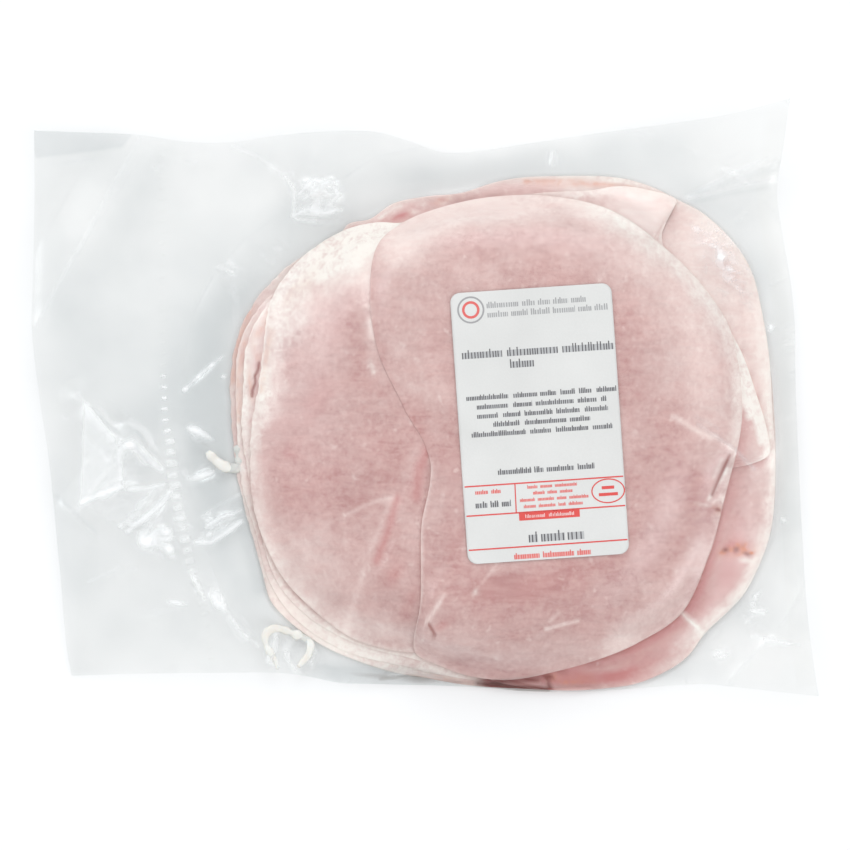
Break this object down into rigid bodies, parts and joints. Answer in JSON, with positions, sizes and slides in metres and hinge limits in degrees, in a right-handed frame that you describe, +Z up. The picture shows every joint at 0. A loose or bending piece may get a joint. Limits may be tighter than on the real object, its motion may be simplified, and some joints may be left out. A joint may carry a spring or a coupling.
{
  "type": "sliced ham pack",
  "caption": "Clear flat film pouch with a ribbed seal, holding a shingled stack of round ham slices, with a paper label on its film.",
  "frame": {"origin": "under the middle of the pack's box, on the surface it lies on", "axes": "+X along the pouch from the mouth flap to the end seam, +Y across it towards the top of the label, +Z up"},
  "size_m": [0.2814, 0.2136, 0.0258],
  "materials": {
    "film": "clear glossy film, pressed over the slices",
    "ham": "moist sliced meat, soft satin sheen",
    "fat": "cream fat rim, soft satin sheen",
    "label": "white printed paper, satin"
  },
  "bodies": {
    "root": {"pouch": "film", "label": "label"}
  },
  "joints": []
}
